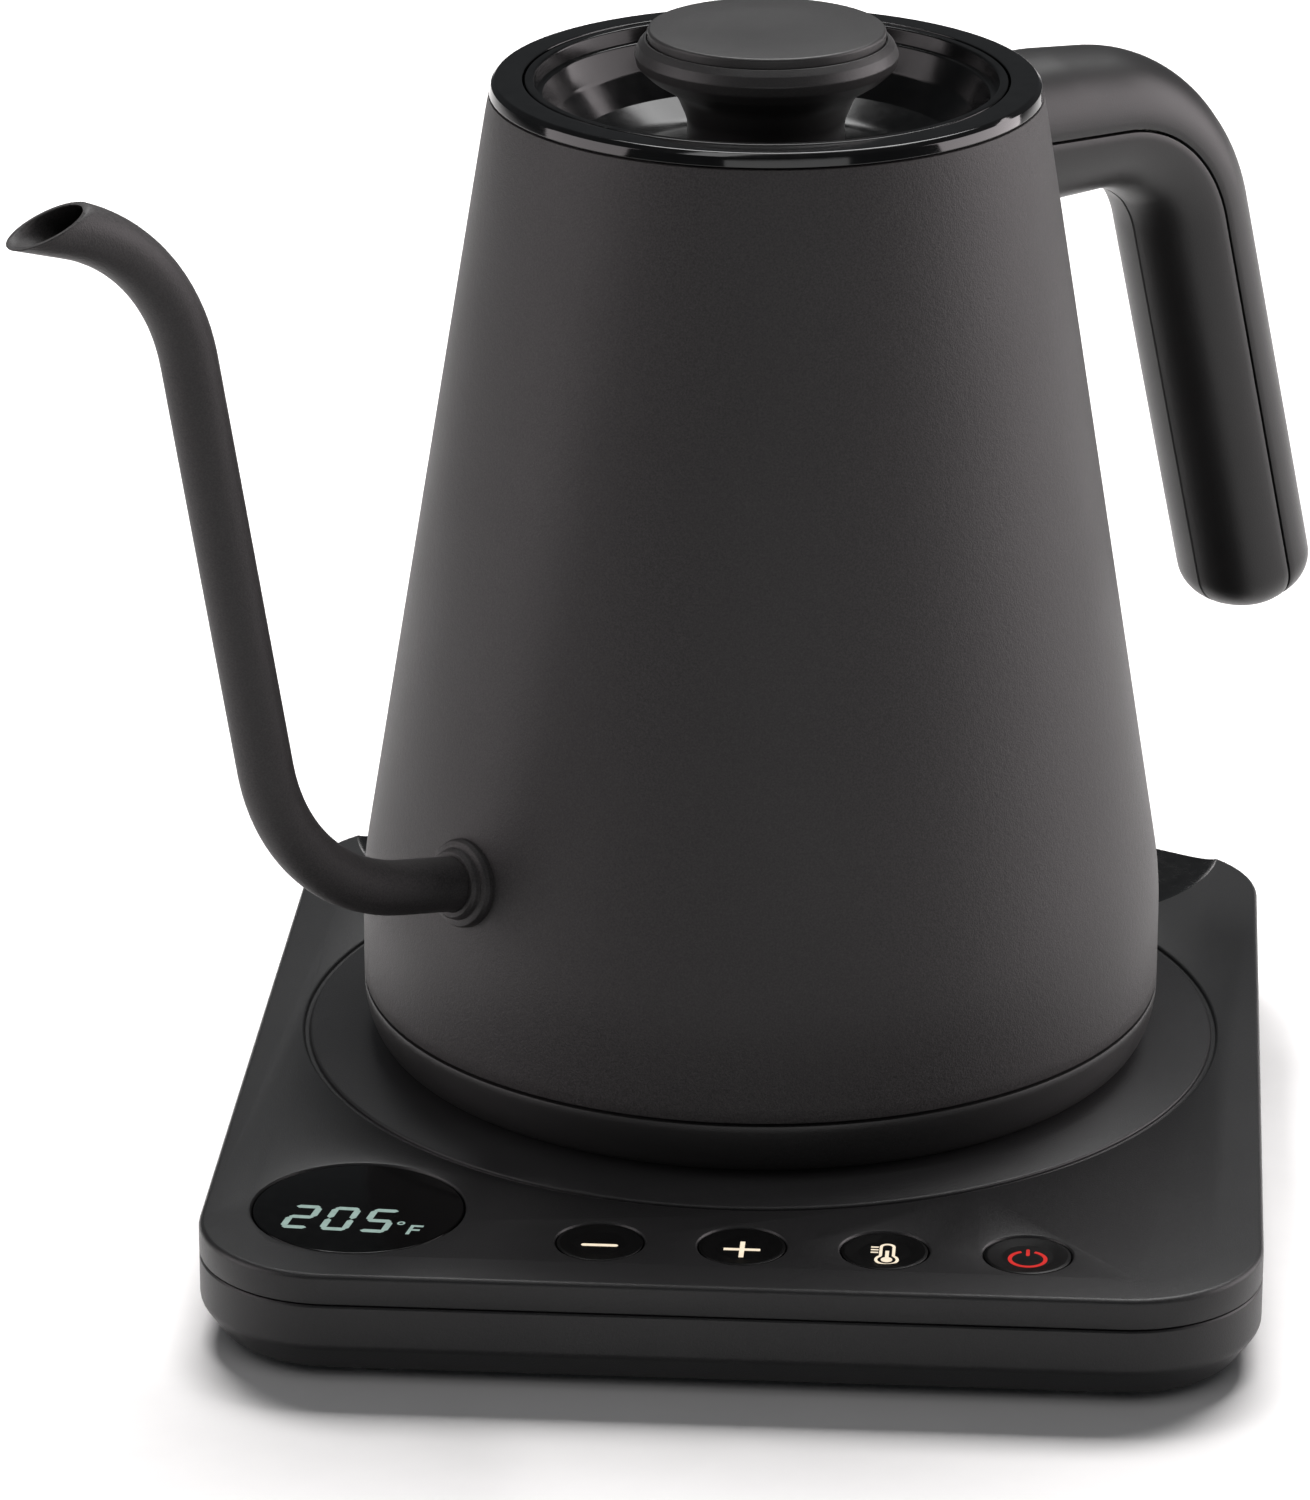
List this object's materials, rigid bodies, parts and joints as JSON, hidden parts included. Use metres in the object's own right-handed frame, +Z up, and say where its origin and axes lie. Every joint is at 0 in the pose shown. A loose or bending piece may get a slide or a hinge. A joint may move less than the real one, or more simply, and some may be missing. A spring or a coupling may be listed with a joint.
{
  "type": "gooseneck kettle",
  "caption": "Electric gooseneck kettle with a tapered black body, curved pouring spout, open handle and lift-off lid, on a square heating base with a display and buttons.",
  "frame": {"origin": "middle of the whole footprint, on the table; the kettle axis stands 8.01 mm towards +X and +Y of it", "axes": "+Z up, front of the base (buttons) towards -Y, +X to the right seen from the front; the kettle is stored turned on its base, handle towards +X +Y"},
  "size_m": [0.2066, 0.2066, 0.2001],
  "materials": {
    "coated_steel": "charcoal powder coat, fine speckle",
    "satin_plastic": "black, satin",
    "gloss_plastic": "black, polished",
    "base_plastic": "black, fine spark texture",
    "button_plastic": "black, smooth",
    "window_plastic": "black tinted, smooth",
    "rubber": "matte",
    "silicone": "translucent grey",
    "steel": "brushed",
    "aluminium": "cast",
    "brass_contact": "plated",
    "circuit_board": "green solder mask",
    "moulded_white": "moulded",
    "relay_blue": "moulded",
    "coil_yellow": "taped"
  },
  "bodies": {
    "base": {"base_top_shell": "base_plastic", "base_bottom_shell": "base_plastic", "foot_front_left": "rubber", "foot_front_right": "rubber", "foot_rear_left": "rubber", "foot_rear_right": "rubber", "cord_gland": "rubber", "base_screw_1": "steel", "base_screw_2": "steel", "base_screw_3": "steel", "base_screw_4": "steel", "display_window": "window_plastic", "display_module": "moulded_white", "terminal_block": "moulded_white", "control_board": "circuit_board", "power_board": "circuit_board", "tact_switch_1": "satin_plastic", "tact_switch_2": "satin_plastic", "tact_switch_3": "satin_plastic", "tact_switch_4": "satin_plastic", "piezo_buzzer": "satin_plastic", "base_connector_housing": "satin_plastic", "relay": "relay_blue", "power_transformer": "coil_yellow", "base_centre_contact": "brass_contact", "base_ring_contact": "brass_contact"},
    "connector": {"kettle_connector": "satin_plastic", "contact_pin": "brass_contact", "contact_blade": "brass_contact"},
    "kettle": {"body_shell": "coated_steel", "rim_collar": "gloss_plastic", "floor_plate": "steel", "heat_plate": "aluminium", "heating_element": "steel", "temperature_sensor": "steel", "thermal_cutout": "moulded_white", "bottom_cover": "satin_plastic", "cover_screw_1": "steel", "cover_screw_2": "steel", "cover_screw_3": "steel", "spout_tube": "coated_steel", "spout_collar": "coated_steel", "handle_bracket": "steel", "handle_outer_cover": "satin_plastic", "handle_inner_grip": "satin_plastic", "handle_screw_1": "steel", "handle_screw_2": "steel"},
    "lid": {"lid_dish": "gloss_plastic", "lid_liner": "steel", "lid_gasket": "silicone", "knob_body": "satin_plastic", "knob_cap": "satin_plastic", "knob_screw": "steel"},
    "button_minus_cap": {"button_minus": "button_plastic"},
    "button_plus_cap": {"button_plus": "button_plastic"},
    "button_preset_cap": {"button_preset": "button_plastic"},
    "button_power_cap": {"button_power": "button_plastic"}
  },
  "joints": [
    {"name": "kettle_lift", "type": "slide", "parent": "base", "child": "connector", "axis": [0, 0, 1], "range_m": [0, 0.15]},
    {"name": "kettle_swivel", "type": "hinge", "parent": "connector", "child": "kettle", "pos_m": [0.00801, 0.00801, 0.0205], "axis": [0, 0, 1], "continuous": true},
    {"name": "lid_lift", "type": "slide", "parent": "kettle", "child": "lid", "axis": [0, 0, 1], "range_m": [0, 0.06]},
    {"name": "button_minus_press", "type": "slide", "parent": "base", "child": "button_minus_cap", "axis": [0, 0, -1], "range_m": [0, 0.0005], "stiffness_N_per_m": 3000},
    {"name": "button_plus_press", "type": "slide", "parent": "base", "child": "button_plus_cap", "axis": [0, 0, -1], "range_m": [0, 0.0005], "stiffness_N_per_m": 3000},
    {"name": "button_preset_press", "type": "slide", "parent": "base", "child": "button_preset_cap", "axis": [0, 0, -1], "range_m": [0, 0.0005], "stiffness_N_per_m": 3000},
    {"name": "button_power_press", "type": "slide", "parent": "base", "child": "button_power_cap", "axis": [0, 0, -1], "range_m": [0, 0.0005], "stiffness_N_per_m": 3000}
  ]
}
